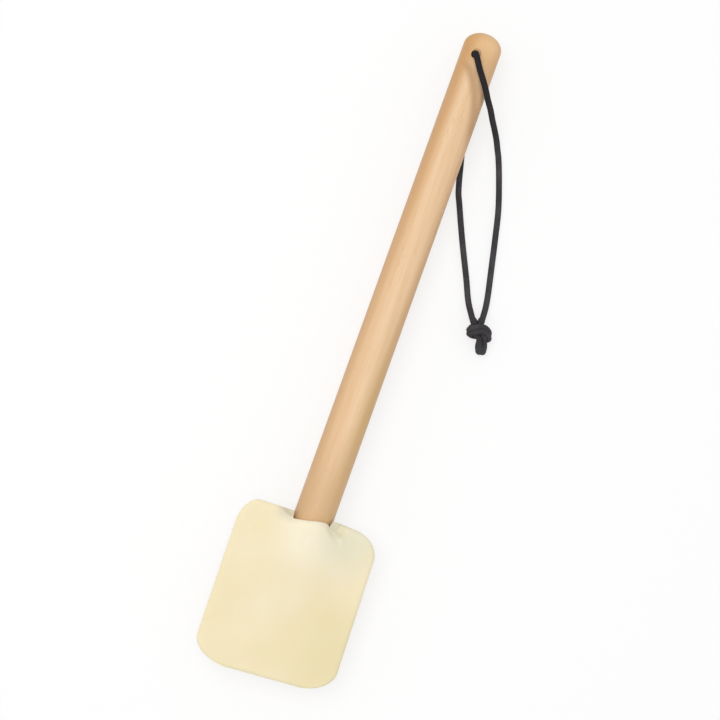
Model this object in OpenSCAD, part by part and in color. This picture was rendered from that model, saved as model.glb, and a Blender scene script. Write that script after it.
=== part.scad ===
// Slap paddle: a turned wooden handle, a soft blade of two bonded foam sheets and a knotted hanging cord.
// It lies on its back: +Z is up, +Y runs from the blade to the handle's tip, +X is right from above.

/* [Handle] */
// Diameter of the round handle
handle_d = 21.4; // [18:0.1:26]
// Length of the handle that shows, from the blade's top edge to the tip
handle_len = 281.5; // [220:0.5:340]
// Height of the domed tip
dome_h = 8; // [5:0.5:11]
// Length of the handle inside the blade
spigot_len = 46; // [34:1:58]
// Full-width length inside the blade, before the taper
spigot_lead = 8; // [5:0.5:14]
// Diameter of the tapered end
spigot_tip_d = 5; // [3:0.5:9]

/* [Cord hole] */
// Bore of the cord hole
hole_d = 4.2; // [3.8:0.1:5.5]
// Distance of the hole from the tip
hole_in = 15.5; // [13:0.5:24]
// Distance of the hole to the left of the handle's centreline
hole_off = 2.8; // [0:0.1:3.5]
// Width of the eased edge round each mouth of the hole
hole_ease = 0.9; // [0.4:0.1:1.4]

/* [Blade outline] */
// Width of the blade
blade_w = 76; // [66:0.5:95]
// Length of the blade on the handle's centreline
blade_len = 87.5; // [74:0.5:120]
// Lean of the two sides, as the foot of the blade swings right
side_lean = 1.4; // [0:0.1:3]
// Distance of the blade's middle to the left of the handle's centreline
blade_off = 0.6; // [0:0.1:2]
// Slope of the top edge, up to the right
top_slope = 1.8; // [0:0.1:4]
// Slope of the bottom edge, up to the right
bottom_slope = 4.2; // [0:0.1:6]
// Reach of the top left corner along the top edge
tl_across = 9.5; // [6:0.5:14]
// Reach of the top left corner down the side
tl_down = 14.5; // [8:0.5:18]
// Reach of the top right corner along the top edge
tr_across = 15; // [8:0.5:20]
// Reach of the top right corner down the side
tr_down = 13; // [8:0.5:18]
// Reach of the bottom left corner along the bottom edge
bl_across = 22; // [8:0.5:26]
// Reach of the bottom left corner up the side
bl_up = 13; // [8:0.5:18]
// Reach of the bottom right corner along the bottom edge
br_across = 18.5; // [8:0.5:24]
// Reach of the bottom right corner up the side
br_up = 12.5; // [8:0.5:18]

/* [Blade sheets] */
// Thickness of each foam sheet
pad_t = 6; // [5:0.5:9]
// Rounding of a sheet's outer edge
edge_r = 2.5; // [1:0.25:4]
// Where the sheets part, to the left of the handle's centreline
part_left = 22; // [17:0.5:26]
// Where the sheets part, to the right of the handle's centreline
part_right = 15; // [14:0.5:20]
// How far the front sheet's edge is drawn down over the handle
front_dip = 3; // [0:0.25:6]
// Half width of that drawn-down stretch
dip_half_w = 28; // [20:1:32]
// Length past the spigot in which the sheets close up again
close_len = 12; // [6:1:16]
// Length below the top edge in which the bulge keeps its full height
bulge_full = 4; // [2:0.5:8]
// Half width of the bulge once it has spread out below the mouth
bulge_wide = 34; // [28:1:37]
// Length in which it spreads out
bulge_spread = 26; // [16:1:36]
// Depth of the flat on which the back sheet rests
rest_flat = 0.5; // [0.3:0.1:1]

/* [Bond] */
// Thickness of the glue film between the sheets
glue_t = 0.3; // [0.2:0.05:0.6]
// Distance of the glue film from the blade's edge
glue_in = 2; // [1:0.25:4]
// Clearance between the handle and the sheets
fit_gap = 0.4; // [0.3:0.05:0.7]

/* [Cord] */
// Diameter of the cord
cord_d = 3.2; // [2.6:0.1:3.6]
// Diameter of the cord where the knot squeezes it
squeezed_d = 2.9; // [2.6:0.1:3.2]
// Gap left where a strand goes into the knot
strand_gap = 0.3; // [0.1:0.1:0.6]
// Length of the two cut ends below the knot
tail_len = 8; // [4:0.5:14]
// Diameter of the cut ends, where the braid has loosened
tail_d = 4.2; // [3:0.1:4.4]

/* [Hidden] */
$fn = 96;
wood = [0.90, 0.75, 0.58];
cream = [0.95, 0.91, 0.77];
amber = [0.85, 0.78, 0.55];
charcoal = [0.17, 0.17, 0.18];

handle_r = handle_d / 2;
seat_r = handle_r + fit_gap;
// Extra depth of the pocket, so that its straight facets clear the turned end
pocket_deep = 3;

// The blade's outline, with its origin on the centreline at the top edge.
// d_top and d_bottom are a row's distances from the two ends, which set how far the corners draw it in.
function corner_in(d, across, along) = d < along ? across * (1 - sqrt(1 - pow(1 - d / along, 2))) : 0;
function side_x(y, side) = side * blade_w / 2 - blade_off - y * tan(side_lean);
function row_left(v, cut) =
    side_x((v - 1) * blade_len, -1) + cut
    + corner_in((1 - v) * (blade_len - 2 * cut), tl_across - cut, tl_down - cut)
    + corner_in(v * (blade_len - 2 * cut), bl_across - cut, bl_up - cut);
function row_right(v, cut) =
    side_x((v - 1) * blade_len, 1) - cut
    - corner_in((1 - v) * (blade_len - 2 * cut), tr_across - cut, tr_down - cut)
    - corner_in(v * (blade_len - 2 * cut), br_across - cut, br_up - cut);
function dip_at(x, dip) = abs(x) < dip_half_w ? dip * pow(cos(90 * x / dip_half_w), 2) : 0;
function top_y(x, dip) = x * tan(top_slope) - dip_at(x, dip);
function bottom_y(x) = x * tan(bottom_slope) - blade_len;
function row_y(x, v, dip, cut) =
    (bottom_y(x) + cut) * (1 - v) + (top_y(x, dip) - cut) * v;

// The lowest and outermost points of the outline set the part's centre
low_y = min([for (i = [0 : 60]) row_y(row_left(i / 400, 0), i / 400, 0, 0)]);
left_x = min([for (i = [0 : 40]) row_left(i / 40, 0)]);
right_x = max([for (i = [0 : 40]) row_right(i / 40, 0)]);
axis_x = -(left_x + right_x) / 2;
mouth_y = -(handle_len + low_y) / 2;
axis_z = seat_r + pad_t - rest_flat;
hole_x = axis_x - hole_off;
hole_y = mouth_y + handle_len - hole_in;
// Depth of the hole's mouth from the handle's centreline
mouth_z = sqrt(handle_r * handle_r - hole_off * hole_off);

// A sheet lies on the round handle and leaves it on a tangent that meets the other sheet at the parting line.
// seat(y) is the radius that it lies on, which tapers with the spigot and then closes.
taper = (handle_r - spigot_tip_d / 2) / (spigot_len - spigot_lead);
tip_seat = spigot_tip_d / 2 + fit_gap;
function seat(y) =
    let (depth = -y - spigot_lead - pocket_deep, run = spigot_len - spigot_lead)
    depth < 0 ? seat_r
    : depth < run ? seat_r - taper * depth
    : max(0, tip_seat * (1 - (depth - run) / close_len));
function part_x(x) = x < 0 ? part_left : part_right;
function lean_of(x) = asin(seat_r / part_x(x));
function inner_z(x, y) =
    let (r = seat(y), a = lean_of(x), s = abs(x), foot = part_x(x) * r / seat_r)
    s < r * sin(a) ? sqrt(r * r - s * s) : max(0, (foot - s) * tan(a));
// The outside swells over the handle as a smooth bell, which spreads out and dies away past the spigot's end
bulge_len = spigot_len + pocket_deep + close_len - bulge_full;
function bell(t) = (1 + cos(180 * min(1, max(0, t)))) / 2;
function bulge_half(x, y) =
    let (steep = bell(-y / bulge_spread))
    (part_x(x) + pad_t) * steep + bulge_wide * (1 - steep);
function outer_z(x, y) =
    pad_t + seat_r * bell(abs(x) / bulge_half(x, y)) * bell((-y - bulge_full) / bulge_len);
function edge_drop(d) = corner_in(max(d, 0), edge_r, edge_r);

// A sheet is a grid of rows and columns, closer together near the edges and over the handle
pad_rows = 22;
pad_cols = 24;
function spread(t) = 0.45 * t + 0.55 * (1 - cos(180 * t)) / 2;
function across(t) = t - 0.5 * sin(720 * t) / (4 * PI);
function pad_point(i, j, dip, is_outer) =
    let (v = spread(i / pad_rows), u = across(j / pad_cols))
    let (left = row_left(v, 0), right = row_right(v, 0))
    let (x = left + u * (right - left), y = row_y(x, v, dip, 0))
    let (d = min(x - left, right - x, v * blade_len, (1 - v) * blade_len))
    [x, y, is_outer
        ? min(outer_z(x, y) - edge_drop(d), seat_r + pad_t - rest_flat)
        : max(glue_t / 2, inner_z(x, y))];
function grid_faces(rows, cols, base, flip) =
    [for (i = [0 : rows - 1], j = [0 : cols - 1], half = [0, 1])
        let (a = base + i * (cols + 1) + j, b = a + 1, c = a + cols + 2, e = a + cols + 1)
        let (f = half == 0 ? [a, b, c] : [a, c, e])
        flip ? [f[2], f[1], f[0]] : f];
function rim(rows, cols) = concat(
    [for (j = [0 : cols - 1]) j],
    [for (i = [0 : rows - 1]) i * (cols + 1) + cols],
    [for (j = [cols : -1 : 1]) rows * (cols + 1) + j],
    [for (i = [rows : -1 : 1]) i * (cols + 1)]);

module foam_sheet(dip) {
    top = [for (i = [0 : pad_rows], j = [0 : pad_cols]) pad_point(i, j, dip, true)];
    under = [for (i = [0 : pad_rows], j = [0 : pad_cols]) pad_point(i, j, dip, false)];
    n = len(top);
    edge = rim(pad_rows, pad_cols);
    m = len(edge);
    wall = [for (k = [0 : m - 1], half = [0, 1])
        let (a = edge[k], b = edge[(k + 1) % m])
        half == 0 ? [a, n + b, b] : [a, n + a, n + b]];
    polyhedron(
        points = concat(top, under),
        faces = concat(
            grid_faces(pad_rows, pad_cols, 0, true),
            grid_faces(pad_rows, pad_cols, n, false),
            [for (f = wall) [f[2], f[1], f[0]]]),
        convexity = 6);
}

// A cord is a tube swept along a smooth line through its route's points
function unit(v) = v / norm(v);
function between(a, b, c, d, t) =
    0.5 * (2 * b + (c - a) * t + (2 * a - 5 * b + 4 * c - d) * t * t
        + (3 * b - a - 3 * c + d) * t * t * t);
function smooth(p, steps) =
    let (n = len(p))
    concat([for (i = [0 : n - 2], k = [0 : steps - 1])
        between(i == 0 ? 2 * p[0] - p[1] : p[i - 1], p[i], p[i + 1],
            i == n - 2 ? 2 * p[n - 1] - p[n - 2] : p[i + 2], k / steps)], [p[n - 1]]);
function heading(p, i) =
    unit(i == 0 ? p[1] - p[0] : i == len(p) - 1 ? p[i] - p[i - 1] : p[i + 1] - p[i - 1]);
function squared(side, along) = unit(side - (side * along) * along);
function sides_of(p) =
    [for (i = 0, s = squared([1, 0, 0], heading(p, 0)); i < len(p);
        i = i + 1, s = i < len(p) ? squared(s, heading(p, i)) : s) s];

cord_sides = 8;
module tube(p, radii) {
    s = sides_of(p);
    n = len(p);
    ring = [for (i = [0 : n - 1], k = [0 : cord_sides - 1])
        let (a = (k + 0.5) * 360 / cord_sides)
        p[i] + radii[i] * (cos(a) * s[i] + sin(a) * cross(heading(p, i), s[i]))];
    skin = [for (i = [0 : n - 2], k = [0 : cord_sides - 1], half = [0, 1])
        let (a = i * cord_sides + k, b = i * cord_sides + (k + 1) % cord_sides)
        half == 0 ? [a, a + cord_sides, b] : [b, a + cord_sides, b + cord_sides]];
    last = (n - 1) * cord_sides;
    caps = [for (k = [1 : cord_sides - 2], end = [0, 1])
        end == 0 ? [0, k, k + 1] : [last, last + k + 1, last + k]];
    polyhedron(points = ring, faces = concat(skin, caps), convexity = 8);
}

// Route of the cord's two strands, from the middle of the hole: right and up the handle from it, and height
front_route = [
    [0, 0, axis_z], [0, 0, 21], [0, 0, 25.5], [0.4, -0.6, 28.6], [2.1, -3.6, 30.3], [5, -8.2, 30.2],
    [8.5, -12.7, 29], [11.8, -16.6, 26.5], [15, -20.5, 22.5], [18.5, -24, 17.5], [21.5, -27.5, 12.5],
    [24.5, -31, 8.5], [27.5, -35, 5], [30, -39.5, 2.8], [32.5, -44.5, 1.8], [36.4, -55, 1.8],
    [41.7, -71.4, 1.8], [45.5, -88, 1.8], [49, -104.5, 1.8], [51.9, -118.5, 1.9], [53, -126.1, 3]];
back_route = [
    [0, 0, axis_z], [0, 0, 13], [0, 0, 9], [0, 0, 6], [0.2, -0.8, 3.6], [1, -3.5, 1.9], [2, -8, 1.8],
    [4.5, -18, 1.8], [7, -28, 1.8], [10, -40, 1.8], [12.8, -51.5, 1.8], [17, -68, 1.8],
    [20.4, -76.4, 1.8], [28.6, -95, 1.8], [37.5, -113.9, 1.8], [42.8, -125.9, 2.6]];

// The knot: a doubled overhand, pulled tight, with its own y along the strands, x to the right and z up.
// A row gives the middle of the pair, half the distance of its strands, and the way to the right strand.
knot_deep = 3.8;
knot_at = [53.7, -140.8, knot_deep + squeezed_d / 2];
knot_turn = 19.8;
knot_top = 8;
tail_from = -4.5;
tail_end = tail_from - tail_len + tail_d / 2;
knot_pair = [
    [-0.5, knot_top, -0.7, 2.9, [1, 0, 0]], [-0.5, 5.8, -0.9, 1.9, [1, 0, 0]],
    [-0.7, 3.2, -1.1, 1.6, [1, 0, 0]], [-0.5, 0.6, -1.2, 1.4, [0.9, -0.4, 0]],
    [-1.5, -0.6, -1.3, 1.4, [0.5, -0.9, 0]], [-3.6, -0.5, -0.9, 1.2, [0.2, -1, -0.4]],
    [-5.35, 0.3, 0.5, 1.2, [0.1, -1, -0.8]], [-4.8, 0.5, 2.4, 1.2, [0.1, -1, -0.5]],
    [-2.4, 0.8, 3.9, 1.3, [0.2, -1, -0.1]], [0.4, 1.3, 4.3, 1.3, [0.2, -1, 0]],
    [3, 0.8, 3.5, 1.3, [-0.1, -1, 0]], [5.1, -0.8, 1.6, 1.15, [-0.15, -1, 0]],
    [5.5, -2.5, -0.6, 1.15, [0, -1, 0]], [3.8, -2.5, -2.8, 1.2, [0, -1, 0]],
    [0.6, -0.6, -knot_deep, 1.4, [0.2, -1, 0]], [-2.2, 0.8, -3.6, 1.3, [0.3, -1, 0]],
    [-3.8, 1.7, -1.8, 1.2, [0.2, -1, 0]], [-4, 1.7, 0.2, 1.2, [-0.3, -1, 0]],
    [-2.7, 1, 1.5, 1.3, [-0.6, -0.8, 0]], [-0.6, -0.6, 1.8, 1.4, [-0.8, -0.6, 0]],
    [0.9, -2.6, 1.9, 1.5, [-1, -0.2, 0]], [1.4, tail_from, 1.8, 1.6, [-1, 0, 0.4]],
    [1.15, (tail_from + tail_end) / 2, 1, 1.85, [-1, 0, 0.8]], [1, tail_end, 0.2, 1.1, [-1, 0, 0.8]]];
function knot_d(y) = y > knot_top / 2 ? cord_d : y < tail_from - cord_d / 2 ? tail_d : squeezed_d;
function knot_line(side) = [for (k = knot_pair) [k[0], k[1], k[2]] + side * k[3] * unit(k[4])];
function turned(p) =
    [p[0] * cos(knot_turn) - p[1] * sin(knot_turn), p[0] * sin(knot_turn) + p[1] * cos(knot_turn), p[2]];
function from_knot(p) = knot_at + turned(p);

module at_hole() {
    translate([hole_x, hole_y, 0])
        children();
}

module handle() {
    tip_z = handle_len - dome_h;
    dome = [for (a = [0 : 4.5 : 90]) [handle_r * cos(a), tip_z + dome_h * sin(a)]];
    spigot = [[0, -spigot_len], [spigot_tip_d / 2, -spigot_len], [handle_r, -spigot_lead]];
    color(wood)
        difference() {
            translate([axis_x, mouth_y, axis_z])
                rotate([-90, 0, 0])
                    rotate_extrude()
                        polygon(concat(spigot, dome));
            translate([hole_x, hole_y, axis_z]) {
                cylinder(d = hole_d, h = 2 * handle_d, center = true);
                for (face = [0, 180])
                    rotate([face, 0, 0])
                        translate([0, 0, mouth_z - hole_ease])
                            cylinder(d1 = hole_d, d2 = hole_d + 4 * hole_ease, h = 2 * hole_ease);
            }
        }
}

module front_pad() {
    color(cream)
        translate([axis_x, mouth_y, axis_z])
            foam_sheet(front_dip);
}

module back_pad() {
    color(cream)
        translate([axis_x, mouth_y, axis_z])
            mirror([0, 0, 1])
                foam_sheet(0);
}

module glue_film() {
    steps = 36;
    left = [for (i = [0 : steps]) let (v = spread(i / steps), x = row_left(v, glue_in))
        [x, row_y(x, v, front_dip, glue_in)]];
    right = [for (i = [steps : -1 : 0]) let (v = spread(i / steps), x = row_right(v, glue_in))
        [x, row_y(x, v, front_dip, glue_in)]];
    full = -spigot_lead - pocket_deep;
    end = -spigot_len - pocket_deep;
    narrow = tip_seat / seat_r;
    color(amber)
        translate([axis_x, mouth_y, axis_z])
            difference() {
                linear_extrude(glue_t, center = true)
                    polygon(concat(left, right));
                linear_extrude(2 * glue_t, center = true)
                    offset(delta = glue_in)
                        polygon([[-part_left, glue_in], [-part_left, full], [-part_left * narrow, end],
                            [0, end - close_len], [part_right * narrow, end], [part_right, full],
                            [part_right, glue_in]]);
            }
}

// A strand runs from the hole's middle to just short of its own end of the knot
module strand(route, side) {
    lead = [for (y = [strand_gap + cord_d / 2, strand_gap]) from_knot(knot_line(side)[0] + [0, y, 0])];
    p = concat(smooth(concat(route, [lead[0]]), 2), [lead[1]]);
    color(charcoal)
        at_hole()
            tube(p, [for (q = p) cord_d / 2]);
}

module cord_front() {
    strand(front_route, 1);
}

module cord_back() {
    strand(back_route, -1);
}

// The knot's strands are pressed together, so that they are one solid
module cord_knot() {
    color(charcoal)
        at_hole()
            translate(knot_at)
                rotate([0, 0, knot_turn])
                    difference() {
                        for (side = [-1, 1]) {
                            p = smooth(knot_line(side), 2);
                            for (i = [0 : len(p) - 2])
                                hull()
                                    for (q = [p[i], p[i + 1]])
                                        translate(q)
                                            sphere(d = knot_d(q[1]), $fn = 8);
                        }
                        translate([-cord_d * 4, knot_top, -cord_d * 2])
                            cube(cord_d * 8);
                    }
}

handle();
front_pad();
back_pad();
glue_film();
cord_front();
cord_back();
cord_knot();
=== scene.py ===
import math

import bpy
import numpy as np
from mathutils import Matrix, Vector, noise


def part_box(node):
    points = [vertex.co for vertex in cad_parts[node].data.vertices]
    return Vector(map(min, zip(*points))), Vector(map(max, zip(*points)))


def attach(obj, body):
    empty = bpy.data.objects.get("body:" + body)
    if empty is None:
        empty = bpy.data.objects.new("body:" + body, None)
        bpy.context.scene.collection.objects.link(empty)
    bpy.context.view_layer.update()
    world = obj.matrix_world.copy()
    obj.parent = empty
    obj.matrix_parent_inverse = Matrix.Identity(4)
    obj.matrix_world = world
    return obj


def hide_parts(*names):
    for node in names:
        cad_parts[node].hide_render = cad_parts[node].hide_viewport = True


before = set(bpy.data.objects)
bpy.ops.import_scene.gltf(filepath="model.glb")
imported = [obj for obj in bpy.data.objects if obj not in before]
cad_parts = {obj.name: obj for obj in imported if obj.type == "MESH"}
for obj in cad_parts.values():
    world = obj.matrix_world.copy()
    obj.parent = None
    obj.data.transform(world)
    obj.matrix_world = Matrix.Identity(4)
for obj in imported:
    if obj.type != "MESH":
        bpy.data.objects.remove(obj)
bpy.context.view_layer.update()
scene = bpy.context.scene
scene.view_settings.view_transform = "Standard"
mm = 0.001

# everything is placed from the turned handle: its centreline, the blade's mouth on it and the cord hole
handleLow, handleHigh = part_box("handle")
paddle = {"shown": 281.5, "radius": 10.7, "holeLeft": 2.8, "holeIn": 15.5}  # mm
axisX = (handleLow[0] + handleHigh[0]) / 2
axisZ = (handleLow[2] + handleHigh[2]) / 2
mouthY = handleHigh[1] - paddle["shown"] * mm
holeX = axisX - paddle["holeLeft"] * mm
holeY = handleHigh[1] - paddle["holeIn"] * mm
print("frame loaded, mouth of the blade at", round(mouthY, 4))


def linear(hexColour):  # sRGB hex to linear
    parts = [int(hexColour[k:k + 2], 16) / 255 for k in (1, 3, 5)]
    return tuple(c / 12.92 if c <= 0.04045 else ((c + 0.055) / 1.055) ** 2.4 for c in parts) + (1.0,)


def addNode(tree, kind, settings, links):  # links: sockets to join or values to set, by name or number
    node = tree.nodes.new(kind)
    for name, value in settings.items():
        setattr(node, name, value)
    for name, value in links.items():
        if isinstance(value, bpy.types.NodeSocket):
            tree.links.new(value, node.inputs[name])
        else:
            node.inputs[name].default_value = value
    return node


smoothStep = {"interpolation_type": "SMOOTHSTEP"}
colourMix = {"data_type": "RGBA"}  # inputs 0, 6 and 7 are the share and the two colours, output 2 the colour


def newMaterial(name):
    material = bpy.data.materials.new(name)
    material.use_nodes = True
    material.node_tree.nodes.clear()
    return material, material.node_tree


def addMesh(name, points, faces, material):
    mesh = bpy.data.meshes.new(name)
    mesh.from_pydata([tuple(p) for p in points], [], faces)
    mesh.validate()
    mesh.update()
    mesh.shade_smooth()
    mesh.materials.append(material)
    piece = bpy.data.objects.new(name, mesh)
    scene.collection.objects.link(piece)
    return piece


# camera: looks down from a little on the blade's side, turned so that the handle runs up to the right
# its aim is given right of the centreline and up from the mouth; mm and degrees
cameraView = {"aimX": -5.2, "aimUp": 87.3, "distance": 800.0, "lean": 6.95, "roll": 19.83, "lens": 74.35,
              "sensor": 36.0}


def placeCamera(view):
    lean, roll = math.radians(view["lean"]), math.radians(view["roll"])
    right = Vector((1, 0, 0))
    rise = Vector((0, math.cos(lean), math.sin(lean)))
    back = Vector((0, -math.sin(lean), math.cos(lean)))
    across = math.cos(roll) * right + math.sin(roll) * rise
    upward = -math.sin(roll) * right + math.cos(roll) * rise
    aim = Vector((axisX + view["aimX"] * mm, mouthY + view["aimUp"] * mm, axisZ))
    lensData = bpy.data.cameras.new("photoCamera")
    lensData.lens = view["lens"]
    lensData.sensor_width = view["sensor"]
    lensData.clip_start = 0.01
    camera = bpy.data.objects.new("photoCamera", lensData)
    turned = Matrix((across, upward, back)).transposed().to_4x4()
    camera.matrix_world = Matrix.Translation(aim + back * view["distance"] * mm) @ turned
    scene.collection.objects.link(camera)
    scene.camera = camera


placeCamera(cameraView)
print("camera placed")

# polyester cord, dyed black and braided: dull, with small soft glints painted lighter on the diamonds of
# the yarns, and worn a little grey, except near the hole
cordYarn = {"dark": "#1E1C1F", "light": "#565357", "rough": 0.85, "crownGlint": 0.4, "freshGrey": 0.15,
            "fibre": 0.16, "wornSpots": 9.0, "freshFrom": 10.0, "freshLong": 60.0}  # mm


def braidedPolyester(yarn):
    material, tree = newMaterial("blackBraidedPolyester")
    place = addNode(tree, "ShaderNodeTexCoord", {}, {})
    fluff = addNode(tree, "ShaderNodeTexNoise", {}, {
        "Vector": place.outputs["Object"], "Scale": 1 / (yarn["fibre"] * mm), "Detail": 3.0})
    wearAndGlint = addNode(tree, "ShaderNodeTexNoise", {}, {
        "Vector": place.outputs["Object"], "Scale": 1 / (yarn["wornSpots"] * mm), "Detail": 2.0})
    mixed = addNode(tree, "ShaderNodeMath", {"operation": "MULTIPLY"}, {
        0: fluff.outputs[0], 1: wearAndGlint.outputs[0]})
    braid = addNode(tree, "ShaderNodeAttribute", {"attribute_name": "lift"}, {})
    # painted glints: the crowns of the yarns are lighter in colour, with the fluff and worn spots on top
    glintsAndFluff = addNode(tree, "ShaderNodeMath", {"operation": "MULTIPLY_ADD"}, {
        0: braid.outputs["Fac"], 1: yarn["crownGlint"], 2: mixed.outputs[0]})
    fromHole = addNode(tree, "ShaderNodeVectorMath", {"operation": "DISTANCE"}, {
        0: place.outputs["Object"], 1: (holeX, holeY, axisZ)})
    faded = addNode(tree, "ShaderNodeMapRange", smoothStep, {
        "Value": fromHole.outputs["Value"], "From Min": yarn["freshFrom"] * mm,
        "From Max": yarn["freshLong"] * mm, "To Min": yarn["freshGrey"], "To Max": 1.0})
    spread = addNode(tree, "ShaderNodeMapRange", {}, {
        "Value": glintsAndFluff.outputs[0], "From Min": 0.2, "From Max": 0.8, "To Max": faded.outputs[0]})
    colour = addNode(tree, "ShaderNodeMix", colourMix, {
        0: spread.outputs[0], 6: linear(yarn["dark"]), 7: linear(yarn["light"])})
    ridges = addNode(tree, "ShaderNodeBump", {}, {
        "Strength": 0.35, "Distance": 0.05 * mm, "Height": fluff.outputs[0]})
    cloth = addNode(tree, "ShaderNodeBsdfPrincipled", {}, {
        "Base Color": colour.outputs[2], "Roughness": yarn["rough"], "Specular IOR Level": 0.15,
        "Normal": ridges.outputs[0]})
    addNode(tree, "ShaderNodeOutputMaterial", {}, {"Surface": cloth.outputs[0]})
    return material


cordCloth = braidedPolyester(cordYarn)

# the hanging cord: one length through the hole, its two strands tied together in a doubled overhand knot
# points are mm right of the hole, mm up the handle from it and mm above the table
hangingCord = {
    "diameter": 3.2, "sides": 40, "step": 0.3, "pathStep": 6,
    # the braid: a yarn's length in a crossing, its height, the share of that under the cord's own radius, the
    # share that is left at the ends of a crossing, and how blunt a melted end is
    "yarns": 8, "cell": 1.35, "ridge": 0.24, "ridgeSunk": 0.35, "ridgeEnds": 0.45, "blunt": 0.02,
    "knotAt": (53.7, -140.8, 5.5), "knotTurn": 19.8,
    # the knot's tubes: steps inside the strand and share of its diameter at the start, then diameters and
    # where they hold, from the start for the first ones and from the cut end for the last two
    "leadSteps": 6, "leadThin": 0.9, "wholeAt": 1.5, "flat": 4.0, "flatAt": 3.5, "squeezed": 2.9,
    "squeezedFrom": 7.0, "squeezedTo": 8.0, "tail": 4.2, "tailFrom": 4.5,
    # the tied pair: its middle right, up and towards the eye, half the strands' distance, way to the right
    "knotPair": [
        (-0.5, 8, -0.7, 2.9, (1, 0, 0)), (-0.5, 5.8, -0.9, 1.9, (1, 0, 0)),
        (-0.7, 3.2, -1.1, 1.6, (1, 0, 0)), (-0.5, 0.6, -1.2, 1.4, (0.9, -0.4, 0)),
        (-1.5, -0.6, -1.3, 1.4, (0.5, -0.9, 0)),
        (-3.6, -0.5, -0.9, 1.2, (0.2, -1, -0.4)), (-5.35, 0.3, 0.5, 1.2, (0.1, -1, -0.8)),
        (-4.8, 0.5, 2.4, 1.2, (0.1, -1, -0.5)), (-2.4, 0.8, 3.9, 1.3, (0.2, -1, -0.1)),
        (0.4, 1.3, 4.3, 1.3, (0.2, -1, 0)), (3, 0.8, 3.5, 1.3, (-0.1, -1, 0)),
        (5.1, -0.8, 1.6, 1.15, (-0.15, -1, 0)), (5.5, -2.5, -0.6, 1.15, (0, -1, 0)),
        (3.8, -2.5, -2.8, 1.2, (0, -1, 0)), (0.6, -0.6, -3.8, 1.4, (0.2, -1, 0)),
        (-2.2, 0.8, -3.6, 1.3, (0.3, -1, 0)), (-3.8, 1.7, -1.8, 1.2, (0.2, -1, 0)),
        (-4, 1.7, 0.2, 1.2, (-0.3, -1, 0)), (-2.7, 1, 1.5, 1.3, (-0.6, -0.8, 0)),
        (-0.6, -0.6, 1.8, 1.4, (-0.8, -0.6, 0)), (0.9, -2.6, 1.9, 1.5, (-1, -0.2, 0)),
        (1.4, -4.5, 1.8, 1.6, (-1, 0, 0.4)), (1.15, -7.45, 1, 1.85, (-1, 0, 0.8)),
        (1, -10.4, 0.2, 1.1, (-1, 0, 0.8))]}
middle = axisZ / mm  # of the hole, above the table
frontRoute = [
    (0, 0, middle), (0, 0, 21), (0, 0, 25.5), (0.4, -0.6, 28.6), (2.1, -3.6, 30.3), (5, -8.2, 30.2),
    (8.5, -12.7, 29), (11.8, -16.6, 26.5), (15, -20.5, 22.5), (18.5, -24, 17.5), (21.5, -27.5, 12.5),
    (24.5, -31, 8.5), (27.5, -35, 5), (30, -39.5, 2.8), (32.5, -44.5, 1.8), (36.4, -55, 1.8),
    (41.7, -71.4, 1.8), (45.5, -88, 1.8), (49, -104.5, 1.8), (51.9, -118.5, 1.9), (53, -126.1, 3)]
backRoute = [
    (0, 0, middle), (0, 0, 13), (0, 0, 9), (0, 0, 6), (0.2, -0.8, 3.6), (1, -3.5, 1.9), (2, -8, 1.8),
    (4.5, -18, 1.8), (7, -28, 1.8), (10, -40, 1.8), (12.8, -51.5, 1.8), (17, -68, 1.8),
    (20.4, -76.4, 1.8), (28.6, -95, 1.8), (37.5, -113.9, 1.8), (42.8, -125.9, 2.6)]


def smoothLine(points, step):  # a smooth line through the points, in even steps
    p = np.array(points, float)
    p = np.vstack([2 * p[0] - p[1], p, 2 * p[-1] - p[-2]])
    between = np.linspace(0, 1, 16, endpoint=False)
    fine = []
    for k in range(1, len(p) - 2):
        for t in between:
            fine.append(0.5 * (2 * p[k] + (p[k + 1] - p[k - 1]) * t
                               + (2 * p[k - 1] - 5 * p[k] + 4 * p[k + 1] - p[k + 2]) * t ** 2
                               + (3 * p[k] - p[k - 1] - 3 * p[k + 1] + p[k + 2]) * t ** 3))
    fine = np.array(fine + [p[-2]])
    run = np.concatenate([[0], np.cumsum(np.linalg.norm(np.diff(fine, axis=0), axis=1))])
    even = np.linspace(0, run[-1], max(4, round(run[-1] / step)) + 1)
    return np.stack([np.interp(even, run, fine[:, k]) for k in range(3)], axis=1), even


def braidLift(turn, along, cord):  # 0 in the grooves, 1 on top of a yarn
    one = cord["yarns"] * turn + along / cord["cell"]
    other = cord["yarns"] * turn - along / cord["cell"]
    over = (np.floor(one) + np.floor(other)) % 2 < 1
    across = np.where(over, one % 1, other % 1)
    length = np.where(over, other % 1, one % 1)
    ends = cord["ridgeEnds"]
    return np.sqrt(np.clip(1 - (2 * across - 1) ** 2, 0, 1)) * (ends + (1 - ends) * np.sin(np.pi * length))


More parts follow.
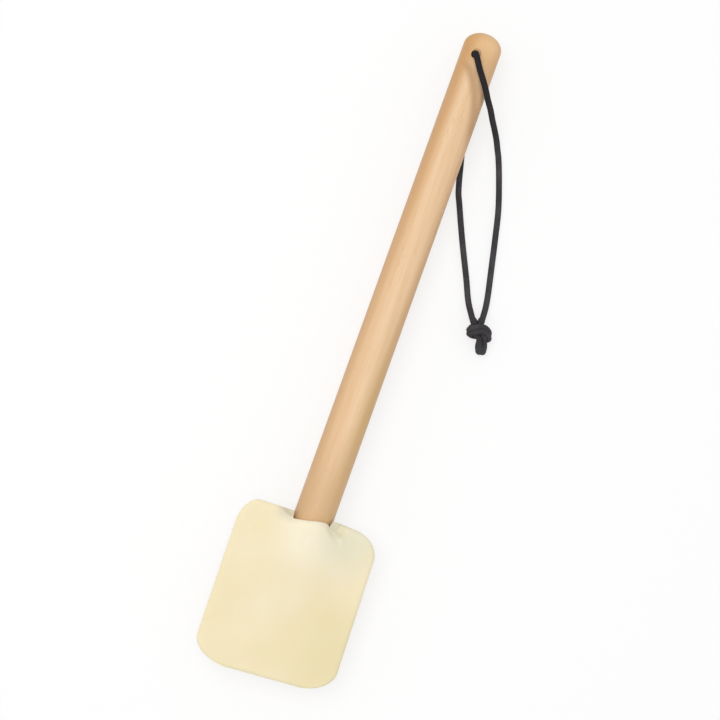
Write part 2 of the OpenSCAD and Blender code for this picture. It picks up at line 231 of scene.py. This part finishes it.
def braidedTube(line, along, radius, cord, roundEnd):  # points and faces of one braided length, in mm
    count, sides = len(line), cord["sides"]
    heading = np.gradient(line, axis=0)
    heading /= np.linalg.norm(heading, axis=1)[:, None]
    side = np.cross(heading[0], (0.3, 0.2, 0.93))  # a way that no strand starts along
    rings, lifts = [], []
    turn = np.arange(sides) / sides
    for k in range(count):
        side = side - heading[k] * (side @ heading[k])
        side /= np.linalg.norm(side)
        third = np.cross(heading[k], side)
        width = radius[k]
        if roundEnd:  # the cut end is melted to a blunt dome
            left = along[-1] - along[k]
            width *= math.sqrt(max(cord["blunt"], 1 - max(0, 1 - left / width) ** 2))
        lift = braidLift(turn, along[k], cord)
        lifts.append(lift)
        reach = width + cord["ridge"] * (lift - cord["ridgeSunk"])
        rings.append(line[k] + reach[:, None] * (np.cos(2 * np.pi * turn)[:, None] * side
                                                 + np.sin(2 * np.pi * turn)[:, None] * third))
    points = list(np.concatenate(rings)) + [line[0], line[-1]]
    faces = []
    for k in range(count - 1):
        for j in range(sides):
            a, b = k * sides + j, k * sides + (j + 1) % sides
            faces.append((a, b, b + sides, a + sides))
    start, end = count * sides, count * sides + 1
    for j in range(sides):
        after = (j + 1) % sides
        faces.append((start, after, j))
        faces.append((end, (count - 1) * sides + j, (count - 1) * sides + after))
    return points, faces, list(np.concatenate(lifts)) + [0, 0]


def inPlace(points):  # mm from the hole to the paddle's own frame
    return np.array(points) * mm + np.array((holeX, holeY, 0))


def addBraid(name, points, faces, lifts):  # the material reads how high each point of the braid lies
    piece = addMesh(name, inPlace(points), faces, cordCloth)
    piece.data.attributes.new("lift", "FLOAT", "POINT").data.foreach_set("value", lifts)
    rounded = [len(face) > 3 for face in faces]  # the ends' triangles stay flat
    piece.data.polygons.foreach_set("use_smooth", rounded)
    return piece


def knotLines(cord):  # the left strand and the right one
    lines = []
    for side in (-1, 1):
        line = []
        for x, y, z, half, way in cord["knotPair"]:
            line.append(tuple(Vector((x, y, z)) + side * half * Vector(way).normalized()))
        lines.append(line)
    return lines


def fromKnot(points, cord):  # the knot's own axes to mm from the hole
    a = math.radians(cord["knotTurn"])
    p = np.array(points, float)
    turned = np.stack([p[:, 0] * math.cos(a) - p[:, 1] * math.sin(a),
                       p[:, 0] * math.sin(a) + p[:, 1] * math.cos(a), p[:, 2]], axis=1)
    return turned + np.array(cord["knotAt"])


def layStrand(name, route, entry, cord):
    line, along = smoothLine(list(route) + [tuple(p) for p in entry], cord["step"])
    radius = np.full(len(line), cord["diameter"] / 2)
    strand = addBraid(name, *braidedTube(line, along, radius, cord, False))
    return strand, line, along[-1] * mm


def tieKnot(name, leads, cord):  # each tube starts inside its strand, a little thinner
    points, faces, lifts = [], [], []
    for lead, strand in zip(leads, knotLines(cord)):
        last = Vector(strand[-1])
        past = (last - Vector(strand[-2])).normalized() * cord["tail"] / 2  # room for the end's dome
        tied = list(fromKnot(strand + [tuple(last + past)], cord))
        line, along = smoothLine([tuple(lead)] + tied, cord["step"])
        run = along[-1]
        stops = (0, cord["wholeAt"], cord["flatAt"], cord["squeezedFrom"], run - cord["squeezedTo"],
                 run - cord["tailFrom"])
        widths = (cord["leadThin"] * cord["diameter"], cord["diameter"], cord["flat"], cord["squeezed"],
                  cord["squeezed"], cord["tail"])
        radius = np.interp(along, stops, np.array(widths) / 2)
        first = len(points)
        tube, skin, raised = braidedTube(line, along, radius, cord, True)
        points += tube
        lifts += raised
        faces += [tuple(first + k for k in face) for face in skin]
    return addBraid(name, points, faces, lifts)


def hangCord(cord):
    leftIn, rightIn = (fromKnot(line[:1], cord) for line in knotLines(cord))
    front, frontLine, frontLength = layStrand("cordFrontStrand", frontRoute, rightIn, cord)
    back, backLine, backLength = layStrand("cordBackStrand", backRoute, leftIn, cord)
    inside = -cord["leadSteps"]
    knot = tieKnot("cordKnot", (backLine[inside], frontLine[inside]), cord)
    mouth = math.sqrt(paddle["radius"] ** 2 - paddle["holeLeft"] ** 2)
    for strand, line, length, node, top, extra in (
            (front, inPlace(frontLine), frontLength, "cord_front", mouth, [knot]),
            (back, inPlace(backLine), backLength, "cord_back", -mouth, [])):
        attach(strand, "loop")
        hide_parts(node)
        print(strand.name, "is", round(length, 3), "m long")
    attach(knot, "loop")
    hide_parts("cord_knot")


hangCord(hangingCord)

# latex foam, moulded in sheets with a closed skin: warm cream, dull, fine cells, soft clouds, and light that
# sinks in a little
latexFoam = {
    "tone": "#F4E8C8", "deep": "#EFE1B8", "rough": 0.88, "glow": 0.3,
    "cells": 0.7, "pores": 1.12, "clouds": 26.0, "glowDeep": 3.0,  # mm
    # places painted lighter or darker: colour, its share, mm from the mouth on the centreline, reach in mm
    "places": [
        ("#F9F0DB", 0.75, (3, -10, 17), 34.0),  # the bulge, painted paler: a painted highlight
        ("#E6E2CA", 0.85, (22, -4, 6), 30.0),  # the corner right of the handle, painted greyer: painted shade beside the bulge
        ("#E9DCB1", 0.8, (34, -66, 6), 42.0),  # the foot, darker and yellower: partly painted shade, partly yellower foam
        ("#D3CDB8", 0.8, (-14, -1, 8), 9.0)]}  # the pinch left of the handle, darker: painted shade


def mouldedLatex(foam):
    material, tree = newMaterial("mouldedLatexFoam")
    place = addNode(tree, "ShaderNodeTexCoord", {}, {})
    clouds = addNode(tree, "ShaderNodeTexNoise", {}, {
        "Vector": place.outputs["Object"], "Scale": 1 / (foam["clouds"] * mm), "Detail": 2.0,
        "Roughness": 0.45})
    cells = addNode(tree, "ShaderNodeTexNoise", {}, {
        "Vector": place.outputs["Object"], "Scale": 1 / (foam["cells"] * mm), "Detail": 2.0})
    pores = addNode(tree, "ShaderNodeTexVoronoi", {}, {
        "Vector": place.outputs["Object"], "Scale": 1 / (foam["pores"] * mm)})
    cloudy = addNode(tree, "ShaderNodeMapRange", {}, {
        "Value": clouds.outputs[0], "From Min": 0.3, "From Max": 0.7, "To Min": 0.0, "To Max": 0.7})
    speckle = addNode(tree, "ShaderNodeMapRange", {}, {
        "Value": cells.outputs[0], "From Min": 0.35, "From Max": 0.75, "To Min": 0.0, "To Max": 0.3})
    depth = addNode(tree, "ShaderNodeMath", {"operation": "ADD"}, {
        0: cloudy.outputs[0], 1: speckle.outputs[0]})
    colour = addNode(tree, "ShaderNodeMix", colourMix, {
        0: depth.outputs[0], 6: linear(foam["tone"]), 7: linear(foam["deep"])})
    # painted highlight and shade, and the foot's yellower foam: each place's colour is mixed in, fullest at
    # its spot and gone at its reach
    for tone, most, spot, reach in foam["places"]:
        at = Vector(spot) * mm + Vector((axisX, mouthY, axisZ))
        away = addNode(tree, "ShaderNodeVectorMath", {"operation": "DISTANCE"}, {
            0: place.outputs["Object"], 1: at})
        share = addNode(tree, "ShaderNodeMapRange", smoothStep, {
            "Value": away.outputs["Value"], "From Min": 0.0, "From Max": reach * mm,
            "To Min": most, "To Max": 0.0})
        colour = addNode(tree, "ShaderNodeMix", colourMix, {
            0: share.outputs[0], 6: colour.outputs[2], 7: linear(tone)})
    skin = addNode(tree, "ShaderNodeMath", {"operation": "MULTIPLY_ADD"}, {
        0: pores.outputs["Distance"], 1: 0.35, 2: cells.outputs[0]})
    bump = addNode(tree, "ShaderNodeBump", {}, {
        "Strength": 0.12, "Distance": 0.1 * mm, "Height": skin.outputs[0]})
    rubber = addNode(tree, "ShaderNodeBsdfPrincipled", {}, {
        "Base Color": colour.outputs[2], "Roughness": foam["rough"], "Specular IOR Level": 0.25,
        "Subsurface Weight": foam["glow"], "Subsurface Scale": foam["glowDeep"] * mm,
        "Subsurface Radius": (1.0, 0.85, 0.6), "Normal": bump.outputs[0]})
    addNode(tree, "ShaderNodeOutputMaterial", {}, {"Surface": rubber.outputs[0]})
    return material


foamSkin = mouldedLatex(latexFoam)

# the blade: two foam sheets bonded round the handle's tapered end, mm from the mouth on the centreline
foamBlade = {
    "width": 76.0, "length": 87.5, "left": 0.6, "sideLean": 1.4, "topSlope": 1.8, "footSlope": 4.2,
    # each corner's reach along the edge and up or down the side
    "topLeft": (9.5, 14.5), "topRight": (15.0, 13.0), "footLeft": (22.0, 13.0), "footRight": (18.5, 12.5),
    "thick": 6.0, "edge": 2.5, "innerEdge": 0.7, "seam": 0.15, "thin": 0.8,
    "partLeft": 22.0, "partRight": 15.0,
    "spigot": 46.0, "spigotLead": 8.0, "tip": 2.5, "gap": 0.4, "pocket": 3.0, "close": 12.0, "full": 4.0,
    "flankLeft": 28.0, "flankRight": 25.0, "wide": 34.0, "spread": 26.0, "rest": 0.5,
    "rows": 96, "columns": 200, "evenColumns": 0.35, "ripple": 0.16, "rippleLong": 17.0, "rippleIn": 8.0,
    # how far the top edge lies under its straight line, and the front sheet's fold, its lip over the handle
    "topLip": [(-40, 0), (8, 0), (12, -0.9), (16, -0.7), (22, -0.2), (27, 0), (40, 0)],
    "fold": [(-40, 0), (-24, 0), (-22, 0.3), (-18, 1.8), (-14, 3.3), (-11, 4), (-8.5, 4), (-2, 2.9),
             (4.8, 1.4), (7.9, 1.5), (10.6, 3.3), (13.6, 5.6), (16, 7.4), (19, 8.6), (24, 9), (40, 9)],
    "hoodLeft": 10.6, "hoodRight": 9.9, "hoodFade": 0.5, "lip": 4.8, "lipEnds": 4.0,
    # beside the handle the front sheet is tucked down past its fold: how deep, and how soft the fold is
    "tuck": [(-24, 0), (-22, 0.3), (-18, 1.8), (-14, 4.2), (-11, 7), (11, 7), (13.6, 6.2), (16, 4.6),
             (19, 2.6), (23, 0.6), (27, 0)],
    "soft": [(-24, 4), (-12, 2.5), (11, 1.6), (13.6, 2.6), (16, 4), (19, 6), (23, 8)],
    # the lip's two ends sink on to the round of the handle
    "sink": [(-20, 0), (-14, 1.5), (-10.6, 3), (-8, 1.5), (-4, 0.5), (4, 0.5), (7, 2), (9, 5), (10.6, 7),
             (12.5, 5), (15, 2), (18, 0)],
    "sinkLong": 4.0}


def cornerIn(depth, across, along):  # how far a corner draws a row in
    near = np.clip(1 - depth / along, 0, 1)
    return across * (1 - np.sqrt(1 - near * near))


def bell(t):  # 1 at nought, eased down to 0 at one
    return (1 + np.cos(np.pi * np.clip(t, 0, 1))) / 2


def eased(x, stops):  # line through the stops, eased over half a millimetre either side
    at, value = np.array(stops, float).T
    return sum(np.interp(x + shift, at, value) for shift in (-0.5, -0.25, 0, 0.25, 0.5)) / 5


def sheetSurfaces(blade, isFront):  # outside and inside heights over the blade's middle plane, on one grid
    v = (1 - np.cos(np.pi * np.linspace(0, 1, blade["rows"] + 1))) / 2
    u = np.linspace(0, 1, blade["columns"] + 1)
    u = blade["evenColumns"] * u + (1 - blade["evenColumns"]) * (1 - np.cos(np.pi * u)) / 2
    v, u = np.meshgrid(v, u, indexing="ij")
    low, high = v * blade["length"], (1 - v) * blade["length"]
    lean = np.tan(np.radians(blade["sideLean"]))
    middle = high * lean - blade["left"]
    left = middle - blade["width"] / 2
    left = left + cornerIn(high, *blade["topLeft"]) + cornerIn(low, *blade["footLeft"])
    right = middle + blade["width"] / 2
    right = right - cornerIn(high, *blade["topRight"]) - cornerIn(low, *blade["footRight"])
    x = left + u * (right - left)
    foot = x * np.tan(np.radians(blade["footSlope"])) - blade["length"]
    straightTop = x * np.tan(np.radians(blade["topSlope"]))
    top = straightTop - eased(x, blade["topLip"])
    fold = straightTop - eased(x, blade["fold"])
    away = np.abs(x)
    hood = np.where(x < 0, blade["hoodLeft"], blade["hoodRight"])
    hooded = np.clip((hood - away) / blade["hoodFade"], 0, 1) if isFront else 0 * x
    ownTop = top + hooded * (fold - top)
    y = foot * (1 - v) + top * v + (ownTop - top) * np.clip(1 - high / blade["lip"], 0, 1)
    seat = paddle["radius"] + blade["gap"]
    part = np.where(x < 0, blade["partLeft"], blade["partRight"])
    # inside: round over the handle, then straight down to the bond
    run = blade["spigot"] - blade["spigotLead"]
    depth = -y - blade["spigotLead"] - blade["pocket"]
    tipSeat = blade["tip"] + blade["gap"]
    taper = (paddle["radius"] - blade["tip"]) / run
    radius = np.where(depth < 0, seat, np.where(
        depth < run, seat - taper * depth, np.clip(tipSeat * (1 - (depth - run) / blade["close"]), 0, None)))
    slant = np.arcsin(seat / part)
    domed = np.sqrt(np.clip(radius ** 2 - away ** 2, 0, None))
    straight = np.clip((part * radius / seat - away) * np.tan(slant), 0, None)
    inside = np.where(away < radius * np.sin(slant), domed, straight)
    # outside: a soft swelling that spreads out and dies away past the handle's end
    swellRun = blade["spigot"] + blade["pocket"] + blade["close"] - blade["full"]
    steep = bell(-y / blade["spread"])
    flank = np.where(x < 0, blade["flankLeft"], blade["flankRight"])
    half = flank * steep + blade["wide"] * (1 - steep)
    outside = blade["thick"] + seat * bell(away / half) * bell((-y - blade["full"]) / swellRun)
    if isFront:
        past = bell(1 - (y - fold) / eased(x, blade["soft"]))
        outside = outside - (1 - hooded) * eased(x, blade["tuck"]) * past
        outside = outside - eased(x, blade["sink"]) * bell((fold - y) / blade["sinkLong"])
    side = np.minimum(np.minimum(x - left, right - x), low)
    lipSide = ownTop - y
    wave, layer = blade["rippleLong"], 3.0 if isFront else 9.0  # two layers, so that the sheets differ
    ripple = np.array([[noise.noise(Vector((px / wave, py / wave, layer)))
                        for px, py in zip(rowX, rowY)] for rowX, rowY in zip(x, y)])
    nearest = np.minimum(side, lipSide)
    outside = outside + blade["ripple"] * ripple * np.clip(nearest / blade["rippleIn"], 0, 1)
    lipTurn = np.where(hooded > 0, np.clip((hood - away) / blade["lipEnds"], 0, 1), 1) * cornerIn(
        lipSide, blade["edge"], blade["edge"])  # the lip's edge isn't turned at its two ends
    outside = outside - np.maximum(cornerIn(side, blade["edge"], blade["edge"]), lipTurn)
    outside = np.minimum(outside, seat + blade["thick"] - blade["rest"])
    inside = np.maximum(inside, blade["seam"]) + cornerIn(nearest, blade["innerEdge"], blade["innerEdge"])
    return x, y, np.maximum(outside, inside + blade["thin"]), inside


def foamSheet(name, blade, isFront):
    x, y, outside, inside = sheetSurfaces(blade, isFront)
    up = 1 if isFront else -1
    rows, columns = x.shape
    count = rows * columns
    flat = [np.stack([axisX + x * mm, mouthY + y * mm, axisZ + up * z * mm], axis=2).reshape(-1, 3)
            for z in (outside, inside)]
    faces = []
    for i in range(rows - 1):
        for j in range(columns - 1):
            quad = (i * columns + j, i * columns + j + 1, (i + 1) * columns + j + 1, (i + 1) * columns + j)
            faces.append(quad if isFront else quad[::-1])
            under = tuple(k + count for k in quad)
            faces.append(under[::-1] if isFront else under)
    rim = ([j for j in range(columns)] + [i * columns + columns - 1 for i in range(1, rows)]
           + [(rows - 1) * columns + j for j in range(columns - 2, -1, -1)]
           + [i * columns for i in range(rows - 2, 0, -1)])
    for k, a in enumerate(rim):
        b = rim[(k + 1) % len(rim)]
        wall = (a, a + count, b + count, b)
        faces.append(wall if isFront else wall[::-1])
    sheet = addMesh(name, np.concatenate(flat), faces, foamSkin)
    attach(sheet, "paddle")
    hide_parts("front_pad" if isFront else "back_pad")
    print(name, "moulded")


foamSheet("frontFoamSheet", foamBlade, True)
foamSheet("backFoamSheet", foamBlade, False)

# steamed beech, turned and rubbed with satin lacquer: pale tan, long soft bands, short dark flecks, low sheen
turnedBeech = {
    "pale": "#EDCBA3", "tan": "#DFB486", "band": "#D09F69", "fleck": "#B98B5B", "dull": "#D2AC7F",
    # edge is painted shade where the round turns away
    "tip": "#CF9B5C", "edge": "#C59763", "olive": "#C6A268", "wearAndGlint": "#EEC797", "cordShadow": "#B0875A",
    "rough": 0.45,
    # each pattern's width across the grain and length along it, mm
    "bandWide": 3.6, "bandLong": 150.0, "grainWide": 0.6, "grainLong": 26.0,
    "fleckWide": 0.6, "fleckLong": 9.0, "patchWide": 6.0, "patchLong": 30.0,
    # mm from the centreline to where the colours and painted shade of the sides start, and on to where two of
    # them are full
    "orangeFrom": 1.5, "oliveFrom": 1.0, "edgeFrom": 5.5, "edgeBand": 8.5,
    # mm up from the mouth to where the dull and olive wood ends, and down from the tip for the warm wood
    "dullLong": 60.0, "oliveLong": 144.0, "tipLong": 34.0,
    # the painted highlight: mm right of the centreline, in from the tip and up from the middle, and its reach
    "glintRight": 4.0, "glintIn": 8.0, "glintUp": 9.0, "glintWide": 14.0,
    # the cord's painted shadow: mm right of the hole, slope and bend for each mm below it, half its
    # width, where it starts and is full below the hole, where it ends and over what length, and its fade down
    # the round
    "shadowRight": -7.9, "shadowSlope": 0.91, "shadowBend": 0.0104, "shadowWide": 4.4,
    "shadowFrom": 3.0, "shadowFull": 9.0, "shadowLong": 52.0, "shadowFade": 14.0, "shadowRound": 2.0}


def lacqueredBeech(beech):
    material, tree = newMaterial("lacqueredSteamedBeech")
    place = addNode(tree, "ShaderNodeTexCoord", {}, {})
    where = addNode(tree, "ShaderNodeSeparateXYZ", {}, {0: place.outputs["Object"]})
    lengths = {}  # coordinates: one unit is a pattern's width across the grain and its length along it
    for name in ("band", "grain", "fleck", "patch"):
        wide, lengthwise = 1 / (beech[name + "Wide"] * mm), 1 / (beech[name + "Long"] * mm)
        lengths[name] = addNode(tree, "ShaderNodeVectorMath", {"operation": "MULTIPLY"}, {
            0: place.outputs["Object"], 1: (wide, lengthwise, wide)})
    bands = addNode(tree, "ShaderNodeTexNoise", {}, {
        "Vector": lengths["band"].outputs[0], "Scale": 1.0, "Detail": 3.0, "Roughness": 0.55})
    grain = addNode(tree, "ShaderNodeTexNoise", {}, {
        "Vector": lengths["grain"].outputs[0], "Scale": 1.0, "Detail": 2.0})
    flecks = addNode(tree, "ShaderNodeTexVoronoi", {}, {"Vector": lengths["fleck"].outputs[0], "Scale": 1.0})
    scattered = addNode(tree, "ShaderNodeTexNoise", {}, {
        "Vector": lengths["patch"].outputs[0], "Scale": 1.0, "Detail": 1.0})
    bandTone = addNode(tree, "ShaderNodeMapRange", {}, {
        "Value": bands.outputs[0], "From Min": 0.3, "From Max": 0.7, "To Max": 0.6})
    wood = addNode(tree, "ShaderNodeMix", colourMix, {
        0: bandTone.outputs[0], 6: linear(beech["pale"]), 7: linear(beech["tan"])})
    # a more orange band down the left side, which fades out towards the blade: partly the wood's own colour,
    # partly painted shade of that side; and browner edges, painted shade where the round turns away
    leftShadeAcross = addNode(tree, "ShaderNodeMapRange", smoothStep, {
        "Value": where.outputs["X"], "From Min": axisX - beech["edgeBand"] * mm,
        "From Max": axisX - beech["orangeFrom"] * mm, "To Min": 0.9, "To Max": 0.0})
    upward = addNode(tree, "ShaderNodeMapRange", smoothStep, {
        "Value": where.outputs["Y"], "From Min": mouthY + beech["dullLong"] * mm, "From Max": handleHigh[1],
        "To Min": 0.3, "To Max": 1.0})
    leftShade = addNode(tree, "ShaderNodeMath", {"operation": "MULTIPLY"}, {
        0: leftShadeAcross.outputs[0], 1: upward.outputs[0]})
    leftShaded = addNode(tree, "ShaderNodeMix", colourMix, {
        0: leftShade.outputs[0], 6: wood.outputs[2], 7: linear(beech["band"])})
    across = addNode(tree, "ShaderNodeMath", {"operation": "SUBTRACT"}, {0: where.outputs["X"], 1: axisX})
    away = addNode(tree, "ShaderNodeMath", {"operation": "ABSOLUTE"}, {0: across.outputs[0]})
    # painted shade: the edges, where the round turns away, are mixed towards a browner colour
    sides = addNode(tree, "ShaderNodeMapRange", smoothStep, {
        "Value": away.outputs[0], "From Min": beech["edgeFrom"] * mm, "From Max": paddle["radius"] * mm,
        "To Min": 0.0, "To Max": 0.6})
    edgesShaded = addNode(tree, "ShaderNodeMix", colourMix, {
        0: sides.outputs[0], 6: leftShaded.outputs[2], 7: linear(beech["edge"])})
    # an olive cast on the right side, which fades out upwards
    rightSide = addNode(tree, "ShaderNodeMapRange", smoothStep, {
        "Value": across.outputs[0], "From Min": beech["oliveFrom"] * mm, "From Max": beech["edgeBand"] * mm,
        "To Min": 0.0, "To Max": 0.6})
    downward = addNode(tree, "ShaderNodeMapRange", smoothStep, {
        "Value": where.outputs["Y"], "From Min": mouthY + beech["dullLong"] * mm,
        "From Max": mouthY + beech["oliveLong"] * mm, "To Min": 1.0, "To Max": 0.0})
    cast = addNode(tree, "ShaderNodeMath", {"operation": "MULTIPLY"}, {
        0: rightSide.outputs[0], 1: downward.outputs[0]})
    greened = addNode(tree, "ShaderNodeMix", colourMix, {
        0: cast.outputs[0], 6: edgesShaded.outputs[2], 7: linear(beech["olive"])})
    # duller towards the blade, where hands and glue have darkened it, and warmer at the tip
    nearBlade = addNode(tree, "ShaderNodeMapRange", smoothStep, {
        "Value": where.outputs["Y"], "From Min": mouthY, "From Max": mouthY + beech["dullLong"] * mm,
        "To Min": 0.75, "To Max": 0.0})
    dulled = addNode(tree, "ShaderNodeMix", colourMix, {
        0: nearBlade.outputs[0], 6: greened.outputs[2], 7: linear(beech["dull"])})
    nearTip = addNode(tree, "ShaderNodeMapRange", smoothStep, {
        "Value": where.outputs["Y"], "From Min": handleHigh[1] - beech["tipLong"] * mm,
        "From Max": handleHigh[1], "To Min": 0.0, "To Max": 0.9})
    tipped = addNode(tree, "ShaderNodeMix", colourMix, {
        0: nearTip.outputs[0], 6: dulled.outputs[2], 7: linear(beech["tip"])})
    # a painted highlight: paler on the right of the tip
    glintAt = (axisX + beech["glintRight"] * mm, handleHigh[1] - beech["glintIn"] * mm,
              axisZ + beech["glintUp"] * mm)
    fromGlint = addNode(tree, "ShaderNodeVectorMath", {"operation": "DISTANCE"}, {
        0: place.outputs["Object"], 1: glintAt})
    glintShare = addNode(tree, "ShaderNodeMapRange", smoothStep, {
        "Value": fromGlint.outputs["Value"], "From Max": beech["glintWide"] * mm, "To Min": 0.8, "To Max": 0.0})
    bright = addNode(tree, "ShaderNodeMix", colourMix, {
        0: glintShare.outputs[0], 6: tipped.outputs[2], 7: linear(beech["wearAndGlint"])})
    # painted shadow of the cord: browner beside it on the top of the wood
    below = addNode(tree, "ShaderNodeMath", {"operation": "SUBTRACT"}, {0: holeY, 1: where.outputs["Y"]})
    slope = addNode(tree, "ShaderNodeMath", {"operation": "MULTIPLY_ADD"}, {
        0: below.outputs[0], 1: -beech["shadowBend"] / mm, 2: beech["shadowSlope"]})
    shadowLine = addNode(tree, "ShaderNodeMath", {"operation": "MULTIPLY_ADD"}, {
        0: below.outputs[0], 1: slope.outputs[0], 2: holeX + beech["shadowRight"] * mm})
    offLine = addNode(tree, "ShaderNodeMath", {"operation": "SUBTRACT"}, {
        0: where.outputs["X"], 1: shadowLine.outputs[0]})
    beside = addNode(tree, "ShaderNodeMath", {"operation": "ABSOLUTE"}, {0: offLine.outputs[0]})
    shadowShare = addNode(tree, "ShaderNodeMapRange", smoothStep, {
        "Value": beside.outputs[0], "From Max": beech["shadowWide"] * mm, "To Min": 0.62, "To Max": 0.0})
    for value, none, whole in (
            (below.outputs[0], beech["shadowFrom"] * mm, beech["shadowFull"] * mm),
            (below.outputs[0], beech["shadowLong"] * mm, (beech["shadowLong"] - beech["shadowFade"]) * mm),
            (where.outputs["Z"], axisZ - beech["shadowRound"] * mm, axisZ + beech["shadowRound"] * mm)):
        kept = addNode(tree, "ShaderNodeMapRange", smoothStep, {
            "Value": value, "From Min": none, "From Max": whole})
        shadowShare = addNode(tree, "ShaderNodeMath", {"operation": "MULTIPLY"}, {
            0: shadowShare.outputs[0], 1: kept.outputs[0]})
    shadowed = addNode(tree, "ShaderNodeMix", colourMix, {
        0: shadowShare.outputs[0], 6: bright.outputs[2], 7: linear(beech["cordShadow"])})
    grainTone = addNode(tree, "ShaderNodeMapRange", {}, {
        "Value": grain.outputs[0], "From Min": 0.5, "From Max": 0.8, "To Max": 0.3})
    lined = addNode(tree, "ShaderNodeMix", colourMix, {
        0: grainTone.outputs[0], 6: shadowed.outputs[2], 7: linear(beech["band"])})
    dash = addNode(tree, "ShaderNodeMapRange", {}, {
        "Value": flecks.outputs["Distance"], "From Min": 0.1, "From Max": 0.24, "To Min": 1.0, "To Max": 0.0})
    patch = addNode(tree, "ShaderNodeMapRange", {}, {
        "Value": scattered.outputs[0], "From Min": 0.5, "From Max": 0.66, "To Max": 0.7})
    fleck = addNode(tree, "ShaderNodeMath", {"operation": "MULTIPLY"}, {
        0: dash.outputs[0], 1: patch.outputs[0]})
    colour = addNode(tree, "ShaderNodeMix", colourMix, {
        0: fleck.outputs[0], 6: lined.outputs[2], 7: linear(beech["fleck"])})
    sheen = addNode(tree, "ShaderNodeMapRange", {}, {
        "Value": grain.outputs[0], "To Min": beech["rough"] - 0.06, "To Max": beech["rough"] + 0.1})
    pores = addNode(tree, "ShaderNodeMath", {"operation": "MULTIPLY_ADD"}, {
        0: fleck.outputs[0], 1: -0.6, 2: grain.outputs[0]})
    bump = addNode(tree, "ShaderNodeBump", {}, {
        "Strength": 0.1, "Distance": 0.08 * mm, "Height": pores.outputs[0]})
    lacquer = addNode(tree, "ShaderNodeBsdfPrincipled", {}, {
        "Base Color": colour.outputs[2], "Roughness": sheen.outputs[0], "Specular IOR Level": 0.35,
        "Coat Weight": 0.1, "Coat Roughness": 0.35, "Normal": bump.outputs[0]})
    addNode(tree, "ShaderNodeOutputMaterial", {}, {"Surface": lacquer.outputs[0]})
    return material


def finishNode(node, material):
    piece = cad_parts[node]
    piece.data.materials.clear()
    piece.data.materials.append(material)
    piece.data.shade_smooth()


finishNode("handle", lacqueredBeech(turnedBeech))
print("handle lacquered")

# contact glue, brushed on and dried: dull amber with brush streaks
contactGlue = {"amber": "#D3BC86", "streak": "#BFA468", "rough": 0.6, "brush": 1.5, "stroke": 20.0}  # mm


def driedGlue(glue):
    material, tree = newMaterial("brushedContactGlue")
    place = addNode(tree, "ShaderNodeTexCoord", {}, {})
    wide, lengthwise = 1 / (glue["brush"] * mm), 1 / (glue["stroke"] * mm)
    strokes = addNode(tree, "ShaderNodeVectorMath", {"operation": "MULTIPLY"}, {
        0: place.outputs["Object"], 1: (wide, lengthwise, wide)})
    streaks = addNode(tree, "ShaderNodeTexNoise", {}, {
        "Vector": strokes.outputs[0], "Scale": 1.0, "Detail": 2.0})
    colour = addNode(tree, "ShaderNodeMix", colourMix, {
        0: streaks.outputs[0], 6: linear(glue["amber"]), 7: linear(glue["streak"])})
    film = addNode(tree, "ShaderNodeBsdfPrincipled", {}, {
        "Base Color": colour.outputs[2], "Roughness": glue["rough"]})
    addNode(tree, "ShaderNodeOutputMaterial", {}, {"Surface": film.outputs[0]})
    return material


finishNode("glue_film", driedGlue(contactGlue))
print("glue dried")

# studio: a white table, an even white room and one wide lamp at the upper left
studio = {"floor": "#FCFCFC", "floorHalf": 3.0, "glow": 0.7, "room": 0.72, "lampWatts": 3.6, "lampSize": 0.7,
          "lampAt": (-0.2, 0.02, 0.98)}  # metres


def whiteTable(light):
    material, tree = newMaterial("whiteTable")
    paint = addNode(tree, "ShaderNodeBsdfDiffuse", {}, {"Color": linear(light["floor"])})
    glow = addNode(tree, "ShaderNodeEmission", {}, {"Color": (1, 1, 1, 1), "Strength": 1.0})
    rays = addNode(tree, "ShaderNodeLightPath", {}, {})
    mirrored = addNode(tree, "ShaderNodeMath", {"operation": "ADD"}, {
        0: rays.outputs["Is Glossy Ray"], 1: rays.outputs["Is Transmission Ray"]})
    plain = addNode(tree, "ShaderNodeMath", {"operation": "ADD", "use_clamp": True}, {
        0: rays.outputs["Is Camera Ray"], 1: mirrored.outputs[0]})
    seen = addNode(tree, "ShaderNodeMath", {"operation": "MULTIPLY"}, {0: plain.outputs[0], 1: light["glow"]})
    mixed = addNode(tree, "ShaderNodeMixShader", {}, {
        0: seen.outputs[0], 1: paint.outputs[0], 2: glow.outputs[0]})
    addNode(tree, "ShaderNodeOutputMaterial", {}, {"Surface": mixed.outputs[0]})
    return material


def lightStudio(light):
    half = light["floorHalf"]
    table = addMesh("tableTop", [(-half, -half, 0), (half, -half, 0), (half, half, 0), (-half, half, 0)],
                    [(0, 1, 2, 3)], whiteTable(light))
    room = bpy.data.worlds.new("whiteRoom")
    room.use_nodes = True
    sky = room.node_tree.nodes["Background"]
    sky.inputs["Color"].default_value = (1, 1, 1, 1)
    sky.inputs["Strength"].default_value = light["room"]
    scene.world = room
    lampData = bpy.data.lights.new("wideLamp", "AREA")
    lampData.energy = light["lampWatts"]
    lampData.size = light["lampSize"]
    lamp = bpy.data.objects.new("wideLamp", lampData)
    lamp.location = light["lampAt"]
    lamp.rotation_euler = (-Vector(light["lampAt"])).to_track_quat("-Z", "Y").to_euler()
    scene.collection.objects.link(lamp)


lightStudio(studio)
print("studio lit")
